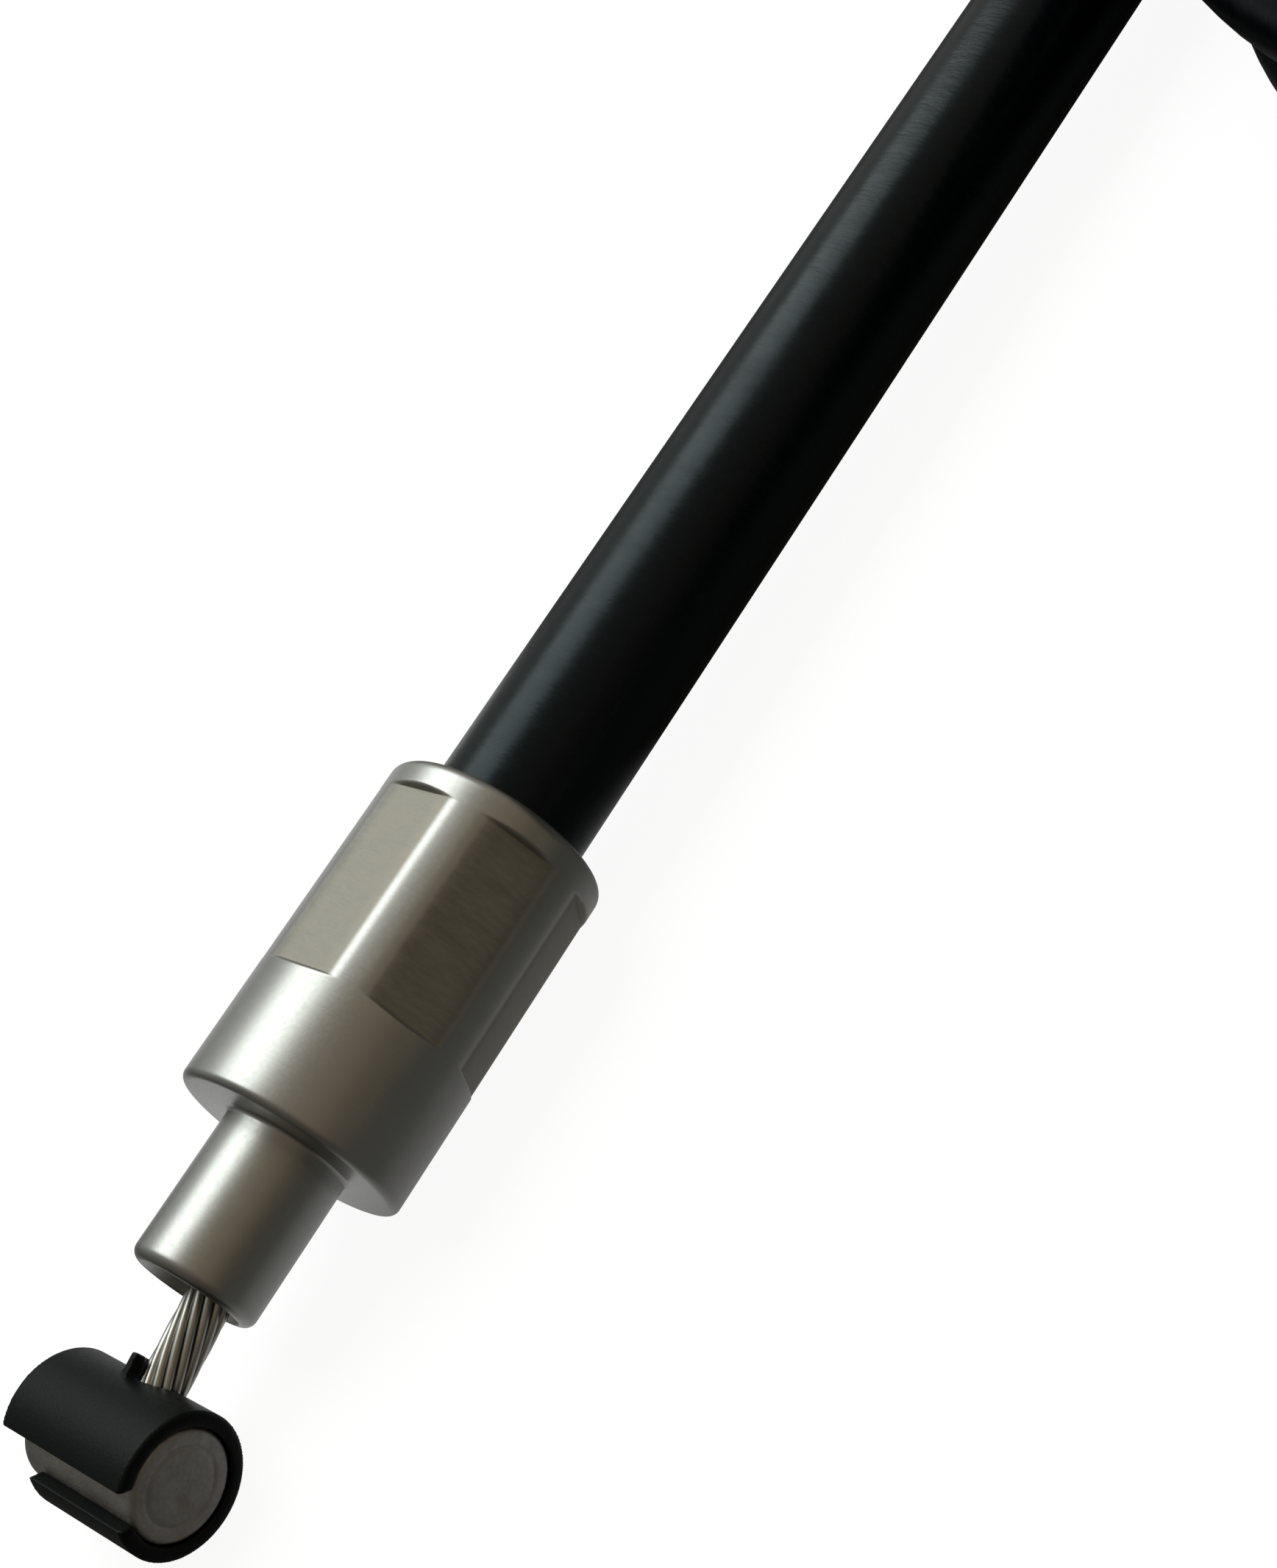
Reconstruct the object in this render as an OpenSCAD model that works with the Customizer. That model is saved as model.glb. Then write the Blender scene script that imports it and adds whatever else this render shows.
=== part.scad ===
// Bowden control cable: barrel nipple in a C-shaped bush, stranded wire, stepped
// crimp ferrule, plastic-covered casing wound into a flat coil, and an adjuster
// screw at the lower end.
// Origin: centre of the lever ferrule's front shoulder.
// +X runs from the shoulder into the casing, +Y along the barrel nipple, +Z up.

/* [Casing] */
// Outer diameter of the plastic-covered casing
casing_d = 8; // [7:0.1:8.4]
// Outer diameter of the wound steel armour under the plastic
armour_d = 5.6; // [5:0.1:6.4]
// Outer diameter of the slippery liner inside the armour
liner_d = 3.6; // [3.2:0.1:4]
// Bore of the liner
liner_bore_d = 2.7; // [2.5:0.05:2.9]
// Diameter of the stranded pull wire
wire_d = 2.24; // [1.8:0.02:2.4]

/* [Lever ferrule] */
// Outer diameter of the ferrule body
ferrule_d = 11.7; // [11:0.1:12.4]
// Length of the ferrule body, shoulder to rear rim
ferrule_len = 18.2; // [16:0.1:22]
// Diameter of the nose that enters the lever bracket
nose_d = 6.4; // [5.6:0.1:7]
// Length of the nose in front of the shoulder
nose_len = 7.75; // [6:0.1:9]
// Radius of the rounded edge at the tip of the nose
nose_edge_r = 0.55; // [0.2:0.05:0.8]
// Radius of the rounded edge at the front shoulder
shoulder_edge_r = 0.4; // [0.2:0.05:0.7]
// Radius of the rolled edge at the rear rim
rim_edge_r = 0.6; // [0.3:0.05:0.8]
// Thickness of the web behind the shoulder
shoulder_web = 2.6; // [1.5:0.1:4]
// Diameter of the wide bore in the nose, in which the wire lies to one side
nose_bore_d = 5.2; // [4.6:0.1:5.4]
// Distance between two opposite crimp flats
crimp_across = 11; // [10.6:0.05:11.4]
// Where the crimp flats start behind the shoulder
crimp_start = 6.4; // [5:0.1:8]
// Where the crimp flats end behind the shoulder
crimp_end = 16.8; // [14:0.1:17.4]
// Length of the slope at the front end of each flat
crimp_front_slope = 0.3; // [0.3:0.1:1.5]
// Length of the slope at the rear end of each flat
crimp_rear_slope = 0.3; // [0.2:0.05:1]

/* [Barrel nipple and bush] */
// Diameter of the barrel nipple
nipple_d = 5.2; // [4.6:0.1:5.6]
// Length of the barrel nipple
nipple_len = 8.2; // [7:0.1:9.6]
// How far the nipple sits towards the front end of the bush
nipple_shift = 0.3; // [0:0.1:0.4]
// Outer diameter of the bush on the nipple
bush_d = 6.7; // [6.4:0.1:7.4]
// Length of the bush
bush_len = 9; // [7.2:0.1:10]
// Radial clearance between the nipple and the bush
bush_gap = 0.05; // [0.03:0.01:0.1]
// Distance of the nipple axis in front of the shoulder
nipple_reach = 14.9; // [14:0.1:18]
// How far the nipple hangs below the axis of the nose
nipple_drop = 1.9; // [1.2:0.1:2.2]
// Where the wire bends behind the shoulder, on its way to the nipple
wire_bend_at = 1.2; // [0.8:0.1:1.6]
// How far the wire enters the nipple in front of the nipple's middle
wire_side = 0.4; // [0:0.05:0.6]
// Width of the lengthwise slot in the bush
bush_slot_w = 1.7; // [0.8:0.1:2]
// Angle of the slot round the nipple, from the wire side over the top
bush_slot_angle = 136.5; // [110:1:200]
// How far the lip below the slot stops short of the bush's rear end
bush_lip_cut = 2.1; // [0:0.1:3]
// Swing of the bush on the nipple, to one side of its rest
bush_swing = 12; // [4:1:12]
// Height of the lip beside the wire opening
bush_lip = 0.7; // [0.3:0.05:0.8]

/* [Lower end] */
// Diameter of the socket that holds the casing
socket_d = 12; // [11:0.1:13]
// Length of the socket
socket_len = 14; // [12:0.5:18]
// Outer diameter of the adjuster thread
thread_d = 8; // [7:0.5:9]
// Pitch of the adjuster thread
thread_pitch = 1.25; // [1:0.25:1.5]
// Play left at each end of the lock nuts' travel
nut_room = 1; // [0.5:0.25:2]
// Width of the lock nuts across flats
nut_across = 13; // [12:0.5:14]
// Height of each lock nut
nut_h = 5; // [4:0.5:6.5]
// Outer diameter of the washers
washer_d = 15.2; // [15.1:0.1:15.8]
// Thickness of the washers
washer_t = 1.2; // [0.8:0.1:1.6]
// Gap between the two washers for the bracket
bracket_gap = 8; // [6:0.5:9]
// Travel of each lock nut to each side along the thread
nut_travel = 2.5; // [1.25:0.25:2.75]
// Outer diameter of the dust boot
boot_d = 12.4; // [11.6:0.1:13]
// Wall of the dust boot
boot_wall = 1.1; // [0.8:0.1:1.6]
// Length of thread that the boot covers
boot_grip = 6; // [5:0.5:7]
// Length of the boot's bellows in front of the thread
boot_nose = 9; // [8:0.5:11]
// Bare wire between the boot and the lower nipple at rest
lower_bare = 18; // [16:0.5:22]
// Diameter of the lower barrel nipple
lower_nipple_d = 7; // [6:0.5:8]
// Length of the lower barrel nipple
lower_nipple_len = 8; // [7:0.5:9]

/* [Cable ties] */
// Width of each tie's strap
tie_w = 4.8; // [3.6:0.1:6]
// Thickness of each tie's strap
tie_t = 1.5; // [1:0.1:1.6]

/* [Fits] */
// Clearance of the wire in the nipples and the boot
wire_fit = 0.03; // [0.02:0.01:0.06]
// Radial clearance between the layers inside the ferrules
layer_fit = 0.05; // [0.03:0.01:0.1]
// Radial clearance of nuts and washers on the thread
thread_fit = 0.05; // [0.03:0.01:0.1]
// Clearance between the ties and the coil
tie_fit = 0.35; // [0.3:0.05:0.5]

/* [Hidden] */
$fn = 96;
eps = 0.01;

casing_r = casing_d / 2;
armour_r = armour_d / 2;
liner_r = liner_d / 2;
liner_bore_r = liner_bore_d / 2;
wire_r = wire_d / 2;
ferrule_r = ferrule_d / 2;
nose_r = nose_d / 2;
nipple_r = nipple_d / 2;
bush_r = bush_d / 2;
washer_r = washer_d / 2;

// The floor that the part lies on touches the ferrule's underside
floor_z = -ferrule_r;

// Layers inside the lever ferrule
liner_hole_r = liner_r + layer_fit;
jacket_start = shoulder_web + 0.1;
jacket_bore_r = armour_r + layer_fit;
socket_bore_r = casing_r + layer_fit;

// Shape of the bare wire: straight in the liner, then through the nose's wide bore and down to the
// nipple in a second straight
wire_run = norm([nipple_reach + wire_bend_at, wire_side]);
wire_tilt = atan2(nipple_drop, wire_run);
wire_yaw = atan2(wire_side, nipple_reach + wire_bend_at);
wire_second_len = norm([wire_run, nipple_drop]);
wire_knuckle_r = wire_r + 0.03;
wire_inner_end = ferrule_len - 0.3;
nose_bore_r = nose_bore_d / 2;
liner_start = wire_bend_at + 0.2;

// Crimp flats
crimp_count = 6;
crimp_depth = ferrule_r - crimp_across / 2;
crimp_over = 1;

// The casing's route: straight from the ferrule to the coil, 2.5 turns, and a tail
coil_x = 102;
coil_outer_r = 48;
coil_y = -coil_outer_r;
coil_lead = casing_d;
coil_pitch = 8.5;
coil_turns = 2.5;
rings_per_turn = 24;
coil_sides = 6;
tube_sides = 10;
coil_top_z = coil_pitch;

// Lower end: everything on one line that runs back along -X
lower_y = coil_y - coil_outer_r;
lower_z = floor_z + washer_r;
lower_x = 62;
run_points = [
    [18.2, 0, 0], [36, 0, 0], [55, 0, 0], [74, 0, 0], [94, 0, 0],
];
tail_points = [
    [94, -96, 8.5], [90, -96, 8.3], [86, -96, 7.7], [82, -96, 6.6], [78, -96, 5.1],
    [74, -96, 3.6], [70, -96, 2.6], [66, -96, 2], [62, -96, 1.75],
];

// Stations of the lower end, as distances from the casing's entry
rear_nut_at = socket_len + nut_room + nut_travel;
rear_washer_at = rear_nut_at + nut_h;
front_washer_at = rear_washer_at + washer_t + bracket_gap;
front_nut_at = front_washer_at + washer_t;
boot_at = front_nut_at + nut_h + nut_travel + nut_room;
thread_end = boot_at + boot_grip;
boot_tip_at = thread_end + boot_nose;
lower_nipple_at = boot_tip_at + lower_bare + lower_nipple_d / 2;
socket_floor_at = socket_len - 2;
lower_wire_start = socket_floor_at + 0.2;

// Points on an arc in a profile
function arc(cx, cy, r, from, to, steps = 6) =
    [for (i = [0:steps]) let (a = from + (to - from) * i / steps) [cx + r * cos(a), cy + r * sin(a)]];

// Direction of a route at point i; both ends of every route run along X
function heading(p, i) =
    let (last = len(p) - 1, d = p[min(i + 1, last)] - p[max(i - 1, 0)])
    i == 0 || i == last ? [sign(d[0]), 0, 0] : d / norm(d);

// A ring of points round a route's point, with its sides level and upright
function ring(p, i, r, sides) =
    let (t = heading(p, i), n0 = [-t[1], t[0], 0], n = n0 / norm(n0), u = cross(t, n))
    [for (k = [0:sides - 1]) let (a = 90 + 360 * k / sides) p[i] + r * (cos(a) * n + sin(a) * u)];

// Centre of the coil's tube after an angle of travel
function coil_layer_angle(a) = max(0, min(1, (a - (coil_turns * 180 - 90)) / 180));
function coil_r_at(a) =
    coil_outer_r - coil_pitch * min(a, coil_turns * 360 - a) / 360;
function coil_at(a) =
    let (r = coil_r_at(a))
    [coil_x + r * sin(a), coil_y + r * cos(a), coil_pitch * (1 - cos(180 * coil_layer_angle(a))) / 2];

coil_route = concat(
    [[coil_x - coil_lead, 0, 0], [coil_x - coil_lead / 2, 0, 0]],
    [for (i = [0:coil_turns * rings_per_turn]) coil_at(360 * i / rings_per_turn)],
    [[coil_x - coil_lead / 2, lower_y, coil_top_z], [coil_x - coil_lead, lower_y, coil_top_z]]
);

// Least distance between two turns, on points every 5 degrees, minus the tube
gap_step = 5;
coil_gap = min([
    for (a = [0:gap_step:coil_turns * 360], b = [a + 120:gap_step:coil_turns * 360])
        norm(coil_at(a) - coil_at(b))
]) - casing_d;
echo(least_gap_between_turns = coil_gap);
function route_len(p, i = 1) = i >= len(p) ? 0 : norm(p[i] - p[i - 1]) + route_len(p, i + 1);
echo(free_casing_length = route_len(run_points) + route_len(coil_route) + route_len(tail_points));

// Put a shape drawn along +Z onto the +X axis, starting at x
module on_x(x = 0) {
    translate([x, 0, 0]) rotate([0, 90, 0]) children();
}

// Put a shape drawn along +X into the lower end's line, which runs along -X
module on_lower(at = 0) {
    translate([lower_x - at, lower_y, lower_z]) rotate([0, 0, 180]) children();
}

module ring_of(outer_r, inner_r, h) {
    difference() {
        cylinder(r = outer_r, h = h);
        translate([0, 0, -1]) cylinder(r = inner_r, h = h + 2);
    }
}

// A closed tube along a route
module route_tube(route, r, sides) {
    count = len(route);
    points = [for (i = [0:count - 1]) each ring(route, i, r, sides)];
    side_faces = [
        for (i = [0:count - 2], k = [0:sides - 1])
            let (a = i * sides + k, b = i * sides + (k + 1) % sides)
            each [[a, b, b + sides], [a, b + sides, a + sides]]
    ];
    first_cap = [for (k = [1:sides - 2]) [0, k + 1, k]];
    last = (count - 1) * sides;
    last_cap = [for (k = [1:sides - 2]) [last, last + k, last + k + 1]];
    polyhedron(points = points, faces = concat(side_faces, first_cap, last_cap), convexity = 10);
}

// Half section of the lever ferrule's outside: radius against distance along the axis
function ferrule_profile() = concat(
    [[0, -nose_len]],
    arc(nose_r - nose_edge_r, -nose_len + nose_edge_r, nose_edge_r, -90, 0),
    [[nose_r, 0]],
    arc(ferrule_r - shoulder_edge_r, shoulder_edge_r, shoulder_edge_r, -90, 0),
    arc(ferrule_r - rim_edge_r, ferrule_len - rim_edge_r, rim_edge_r, 0, 90),
    [[0, ferrule_len]]
);

// One wedge that presses a flat into the top of the ferrule
module crimp_flat() {
    flat = crimp_across / 2;
    front_run = crimp_front_slope * crimp_over / crimp_depth;
    rear_run = crimp_rear_slope * crimp_over / crimp_depth;
    translate([0, ferrule_r, 0])
        rotate([90, 0, 0])
            linear_extrude(height = ferrule_d)
                polygon([
                    [crimp_start - front_run, ferrule_r + crimp_over],
                    [crimp_start + crimp_front_slope, flat],
                    [crimp_end - crimp_rear_slope, flat],
                    [crimp_end + rear_run, ferrule_r + crimp_over],
                ]);
}

module lever_ferrule() {
    color("silver")
        difference() {
            on_x() rotate_extrude() polygon(ferrule_profile());
            on_x(-nose_len - 1) cylinder(r = nose_bore_r, h = nose_len + 1 + wire_bend_at);
            on_x(0) cylinder(r = liner_hole_r, h = shoulder_web + 1);
            on_x(shoulder_web) cylinder(r = socket_bore_r, h = ferrule_len);
            for (k = [0:crimp_count - 1]) rotate([360 * k / crimp_count, 0, 0]) crimp_flat();
        }
}

module lever_liner() {
    color("ivory")
        on_x(liner_start) ring_of(liner_r, liner_bore_r, ferrule_len - 0.3 - liner_start);
}

module lever_armour() {
    color("slategray")
        on_x(jacket_start) ring_of(armour_r, liner_hole_r, ferrule_len - jacket_start);
}

module lever_jacket() {
    color("black")
        on_x(jacket_start) ring_of(casing_r, jacket_bore_r, ferrule_len - jacket_start);
}

module lever_wire() {
    color("lightgray") {
        on_x(wire_bend_at) cylinder(r = wire_r, h = wire_inner_end - wire_bend_at);
        translate([wire_bend_at, 0, 0]) sphere(r = wire_knuckle_r);
        at_nipple() up_the_wire() cylinder(r = wire_r, h = wire_second_len);
    }
}

// Move a shape from the origin to the nipple's centre
module at_nipple() {
    translate([-nipple_reach, 0, -nipple_drop]) children();
}

// The way from the wire's end in the nipple up the wire, as +Z
module up_the_wire() {
    translate([0, -wire_side, 0]) rotate([0, 90 - wire_tilt, wire_yaw]) children();
}

// A round bar along Y with rounded edges
module barrel(r, len, edge) {
    rotate([90, 0, 0])
        rotate_extrude()
            polygon(concat(
                [[0, -len / 2]],
                arc(r - edge, -len / 2 + edge, edge, -90, 0),
                arc(r - edge, len / 2 - edge, edge, 0, 90),
                [[0, len / 2]]
            ));
}

module lever_nipple() {
    face_ring_r = nipple_r * 0.72;
    face_ring_w = 0.16;
    face_ring_depth = 0.08;
    dimple_r = 0.45;
    dimple_depth = 0.15;
    color("darkgray")
        at_nipple()
            difference() {
                translate([0, -nipple_shift, 0]) barrel(nipple_r, nipple_len, 0.3);
                up_the_wire() translate([0, 0, -wire_r]) cylinder(r = wire_r + wire_fit, h = nipple_d);
                translate([0, -nipple_shift - nipple_len / 2 + face_ring_depth, 0])
                    rotate([90, 0, 0]) ring_of(face_ring_r, face_ring_r - face_ring_w, 1);
                translate([-0.57, -nipple_shift - nipple_len / 2 + dimple_depth, -0.48])
                    rotate([90, 0, 0]) cylinder(r = dimple_r, h = 1);
            }
}

module nipple_bush() {
    bore_r = nipple_r + bush_gap;
    opening_r = wire_r + 0.2;
    opening_shift = (bush_r + 0.2) * sin(bush_swing);
    lip_r = opening_r + 0.6;
    lip_side = 0.5;
    lip_cut_reach = 1.1;
    color("darkslategray")
        at_nipple()
            difference() {
                union() {
                    barrel(bush_r, bush_len, 0.25);
                    up_the_wire()
                        difference() {
                            cylinder(r = lip_r, h = bush_r + bush_lip);
                            translate([-lip_r, -lip_r * 2 + lip_side, -1])
                                cube([lip_r * 2, lip_r * 2, bush_r + bush_lip + 2]);
                        }
                }
                rotate([90, 0, 0]) cylinder(r = bore_r, h = bush_len + 2, center = true);
                rotate([0, -bush_slot_angle, 0])
                    translate([0, -bush_len / 2 - 1, -bush_slot_w / 2])
                        cube([bush_d, bush_len + 2, bush_slot_w]);
                rotate([0, -bush_slot_angle, 0])
                    translate([lip_cut_reach, bush_len / 2 - bush_lip_cut, 0])
                        cube([bush_d, bush_lip_cut + 1, bush_d]);
                up_the_wire() {
                    for (shift = [0, opening_shift])
                        translate([shift, 0, 0]) cylinder(r = opening_r, h = bush_d);
                    translate([0, -opening_r, 0]) cube([opening_shift, 2 * opening_r, bush_d]);
                }
            }
}

module conduit_run() {
    color("black") route_tube(run_points, casing_r, tube_sides);
}

module conduit_coil() {
    color("black") route_tube(coil_route, casing_r, coil_sides);
}

module conduit_tail() {
    color("black") route_tube(tail_points, casing_r, tube_sides);
}

// The outline of a band of radius r round two or three tube centres
module band(centres, r) {
    count = len(centres);
    if (count > 2) polygon(centres);
    for (i = [0:count - 1]) {
        a = centres[i];
        b = centres[(i + 1) % count];
        d = b - a;
        translate(a) circle(r = r);
        translate(a)
            rotate(atan2(d[1], d[0]))
                translate([0, -r])
                    square([norm(d), 2 * r]);
    }
}

// A cable tie round the turns at an angle of the coil, drawn outwards along +X
module coil_tie(angle, centres) {
    inner = casing_r + tie_fit;
    outer = inner + tie_t;
    head = [4.2, 7, 6.4];
    far = max([for (c = centres) c[0]]);
    high = max([for (c = centres) c[1]]);
    translate([coil_x, coil_y, 0])
        rotate([0, 0, 90 - angle])
            difference() {
                union() {
                    translate([0, tie_w / 2, 0])
                        rotate([90, 0, 0])
                            linear_extrude(height = tie_w) band(centres, outer);
                    translate([far + inner + 0.2, -head[1] / 2, (high - head[2]) / 2])
                        cube(head);
                }
                translate([0, head[1], 0])
                    rotate([90, 0, 0])
                        linear_extrude(height = 2 * head[1]) band(centres, inner);
            }
}

module near_coil_tie() {
    r = coil_r_at(270);
    color("dimgray") coil_tie(270, [[r, 0], [r, coil_top_z]]);
}

module far_coil_tie() {
    color("dimgray")
        coil_tie(90, [
            [coil_r_at(90), 0],
            [coil_r_at(810), coil_top_z],
            [coil_r_at(450), coil_top_z / 2],
        ]);
}

module adjuster_screw() {
    edge = 0.6;
    relief = 0.6;
    relief_len = 1.6;
    color("silver")
        on_lower()
            difference() {
                on_x()
                    rotate_extrude()
                        polygon(concat(
                            [[0, 0]],
                            arc(socket_d / 2 - edge, edge, edge, -90, 0),
                            arc(socket_d / 2 - edge, socket_len - edge, edge, 0, 90),
                            [
                                [thread_d / 2 - relief, socket_len],
                                [thread_d / 2 - relief, socket_len + relief_len],
                                [thread_d / 2, socket_len + relief_len + relief],
                                [thread_d / 2, thread_end - relief],
                                [thread_d / 2 - relief, thread_end],
                                [0, thread_end],
                            ]
                        ));
                on_x(-1) cylinder(r = socket_bore_r, h = socket_floor_at + 1);
                on_x(1) cylinder(r = liner_hole_r, h = thread_end);
            }
}

module lower_jacket() {
    color("black") on_lower() on_x() ring_of(casing_r, jacket_bore_r, socket_floor_at - 0.1);
}

module lower_armour() {
    color("slategray") on_lower() on_x() ring_of(armour_r, liner_hole_r, socket_floor_at - 0.1);
}

module lower_liner() {
    color("ivory") on_lower() on_x(0.2) ring_of(liner_r, liner_bore_r, thread_end - 0.4);
}

// A chamfered hexagon nut along +X
module lock_nut(at) {
    corner_r = nut_across / 2 / cos(30);
    chamfer = corner_r - nut_across / 2;
    on_lower(at)
        on_x()
            difference() {
                intersection() {
                    rotate([0, 0, 90]) cylinder(r = corner_r, h = nut_h, $fn = 6);
                    rotate_extrude()
                        polygon([
                            [0, 0],
                            [nut_across / 2, 0],
                            [corner_r, chamfer / 2],
                            [corner_r, nut_h - chamfer / 2],
                            [nut_across / 2, nut_h],
                            [0, nut_h],
                        ]);
                }
                translate([0, 0, -1]) cylinder(r = thread_d / 2 + thread_fit, h = nut_h + 2);
            }
}

module rear_lock_nut() {
    color("gold") lock_nut(rear_nut_at);
}

module front_lock_nut() {
    color("gold") lock_nut(front_nut_at);
}

module washer(at) {
    on_lower(at) on_x() ring_of(washer_r, thread_d / 2 + thread_fit, washer_t);
}

module rear_washer() {
    color("goldenrod") washer(rear_washer_at);
}

module front_washer() {
    color("goldenrod") washer(front_washer_at);
}

// Half section of the dust boot: a plain cuff, three bellows and a collar on the wire
function boot_outer() =
    let (cuff_r = boot_d / 2, tip_r = wire_r + wire_fit + boot_wall, folds = 3, fold = boot_nose / (folds + 0.5))
    concat(
        [[cuff_r - 0.5, 0], [cuff_r, 0.5], [cuff_r, boot_grip]],
        [
            for (i = [0:folds - 1])
                let (base = boot_grip + fold * i, r = cuff_r + (tip_r - cuff_r) * (i + 0.3) / folds)
                each [[r - 0.9, base + fold * 0.3], [r, base + fold * 0.65], [r - 0.1, base + fold]]
        ],
        [[tip_r, boot_grip + boot_nose - fold * 0.3], [tip_r, boot_grip + boot_nose]]
    );

module wire_boot() {
    color("black")
        on_lower(boot_at)
            difference() {
                on_x()
                    rotate_extrude()
                        polygon(concat([[0, 0]], boot_outer(), [[0, boot_grip + boot_nose]]));
                on_x(-1) cylinder(r = thread_d / 2 + layer_fit, h = boot_grip + 1);
                on_x(boot_grip - eps)
                    cylinder(r1 = thread_d / 2 - 0.4, r2 = wire_r + 0.4, h = boot_nose * 0.65);
                on_x() cylinder(r = wire_r + wire_fit, h = boot_grip + boot_nose + 1);
            }
}

module lower_wire() {
    color("lightgray")
        on_lower() on_x(lower_wire_start) cylinder(r = wire_r, h = lower_nipple_at - lower_wire_start);
}

module lower_nipple() {
    color("darkgray")
        on_lower(lower_nipple_at)
            difference() {
                barrel(lower_nipple_d / 2, lower_nipple_len, 0.4);
                on_x(-lower_nipple_d) cylinder(r = wire_r + wire_fit, h = lower_nipple_d + wire_r);
            }
}

lever_ferrule();
lever_liner();
lever_armour();
lever_jacket();
lever_wire();
lever_nipple();
nipple_bush();
conduit_run();
conduit_coil();
conduit_tail();
near_coil_tie();
far_coil_tie();
adjuster_screw();
lower_jacket();
lower_armour();
lower_liner();
rear_lock_nut();
rear_washer();
front_washer();
front_lock_nut();
wire_boot();
lower_wire();
lower_nipple();
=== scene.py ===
"""Control cable with a barrel nipple in a split bush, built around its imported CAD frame.

Lengths in the code are in millimetres unless a name says otherwise; meshes are in metres.
"""

from math import atan2, cos, pi, radians, sin

import bpy
import numpy as np
from mathutils import Matrix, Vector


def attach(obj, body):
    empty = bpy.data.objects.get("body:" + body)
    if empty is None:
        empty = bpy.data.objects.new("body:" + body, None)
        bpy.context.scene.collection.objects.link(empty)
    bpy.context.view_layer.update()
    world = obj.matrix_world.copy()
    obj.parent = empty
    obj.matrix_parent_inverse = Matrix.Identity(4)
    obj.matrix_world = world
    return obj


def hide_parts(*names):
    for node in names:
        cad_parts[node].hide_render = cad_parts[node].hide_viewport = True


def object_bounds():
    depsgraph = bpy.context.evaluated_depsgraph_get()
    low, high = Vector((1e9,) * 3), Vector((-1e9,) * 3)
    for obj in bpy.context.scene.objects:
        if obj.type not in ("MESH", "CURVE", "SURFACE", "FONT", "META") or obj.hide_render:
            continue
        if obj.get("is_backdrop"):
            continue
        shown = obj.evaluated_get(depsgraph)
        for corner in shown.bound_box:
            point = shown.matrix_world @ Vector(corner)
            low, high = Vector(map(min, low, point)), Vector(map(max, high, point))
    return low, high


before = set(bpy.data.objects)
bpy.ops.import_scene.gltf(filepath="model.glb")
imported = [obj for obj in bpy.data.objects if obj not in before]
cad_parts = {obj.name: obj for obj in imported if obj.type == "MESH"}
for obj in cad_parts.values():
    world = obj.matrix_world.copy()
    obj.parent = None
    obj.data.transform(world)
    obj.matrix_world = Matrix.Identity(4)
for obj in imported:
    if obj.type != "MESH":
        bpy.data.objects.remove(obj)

bl_info = {
    "name": "Control cable",
    "version": (1, 0, 0),
    "blender": (4, 5, 0),
    "location": "View3D > Sidebar > Cable",
    "description": "Builds a plastic-covered control cable with its ferrule, barrel nipple and adjuster",
    "category": "Add Mesh",
}

MM = 0.001

# Middle of the bush on the lever end, where the wire enters it, and the nipple's middle
BUSH = np.array([-14.9, 0.0, -1.9])
WIRE_END = BUSH + [0.0, -0.4, 0.0]
NIPPLE = BUSH + [0.0, -0.3, 0.0]
# Where the wire bends behind the shoulder, and the radius of the wide bore in the nose
WIRE_BEND = np.array([1.2, 0.0, 0.0])
NOSE_BORE = 2.6
# Radii of the socket in both metal ends, which is also the bore of nuts, washers and boot, and of the liner's hole
SOCKET_R, LINER_HOLE = 4.05, 1.85
# The coil's centre, the radius of its outer turn, the distance between turns and its travel in degrees
COIL_X, COIL_Y, COIL_R, COIL_PITCH, COIL_TRAVEL = 102.0, -48.0, 48.0, 8.5, 900.0
# Place of the lower end's line, which runs back along -X
LOWER_X, LOWER_Y, LOWER_Z = 62.0, -96.0, 1.75
# Sizes of the lower end, and stations along it from the casing's entry
REAR_NUT, FRONT_NUT, NUT_H = 17.5, 32.9, 5.0
REAR_WASHER, FRONT_WASHER, WASHER_T = 22.5, 31.7, 1.2
THREAD_START, THREAD_END, THREAD_PITCH, THREAD_R = 16.2, 46.8, 1.25, 4.0
BOOT, LOWER_NIPPLE = 41.4, 77.9


def colour(name, description, default):
    """A colour property."""
    return bpy.props.FloatVectorProperty(
        name=name, description=description, default=default, size=3, min=0, max=1, subtype="COLOR"
    )


def number(name, description, default, **more):
    """A plain number property."""
    return bpy.props.FloatProperty(name=name, description=description, default=default, **more)


def metres(name, description, default):
    """A size property in metres."""
    return number(name, description, default, unit="LENGTH", precision=5)


class CableSizes(bpy.types.PropertyGroup):
    """Sizes of the cable's pieces."""

    casing_d: metres("Casing diameter", "Outer diameter of the plastic cover", 0.008)
    ferrule_d: metres("Ferrule diameter", "Outer diameter of the crimped ferrule", 0.0117)
    ferrule_len: metres("Ferrule length", "Shoulder to rear rim", 0.0182)
    nose_d: metres("Nose diameter", "Diameter of the nose in front of the shoulder", 0.0064)
    nose_len: metres("Nose length", "Length of the nose in front of the shoulder", 0.00775)
    crimp_across: metres("Across the crimp flats", "Distance between two opposite flats", 0.0110)
    strand_d: metres("Single wire diameter", "Diameter of one wire of the strand", 0.000448)
    strand_lay: metres("Lay of the strand", "Length of one turn of the outer wires", 0.021)
    nipple_d: metres("Nipple diameter", "Diameter of the barrel nipple", 0.0052)
    nipple_len: metres("Nipple length", "Length of the barrel nipple", 0.0082)
    bush_d: metres("Bush diameter", "Outer diameter of the bush", 0.0067)
    lower_nipple_d: metres("Lower nipple diameter", "Diameter of the lower nipple", 0.007)
    lower_nipple_len: metres("Lower nipple length", "Length of the lower nipple", 0.008)


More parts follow.
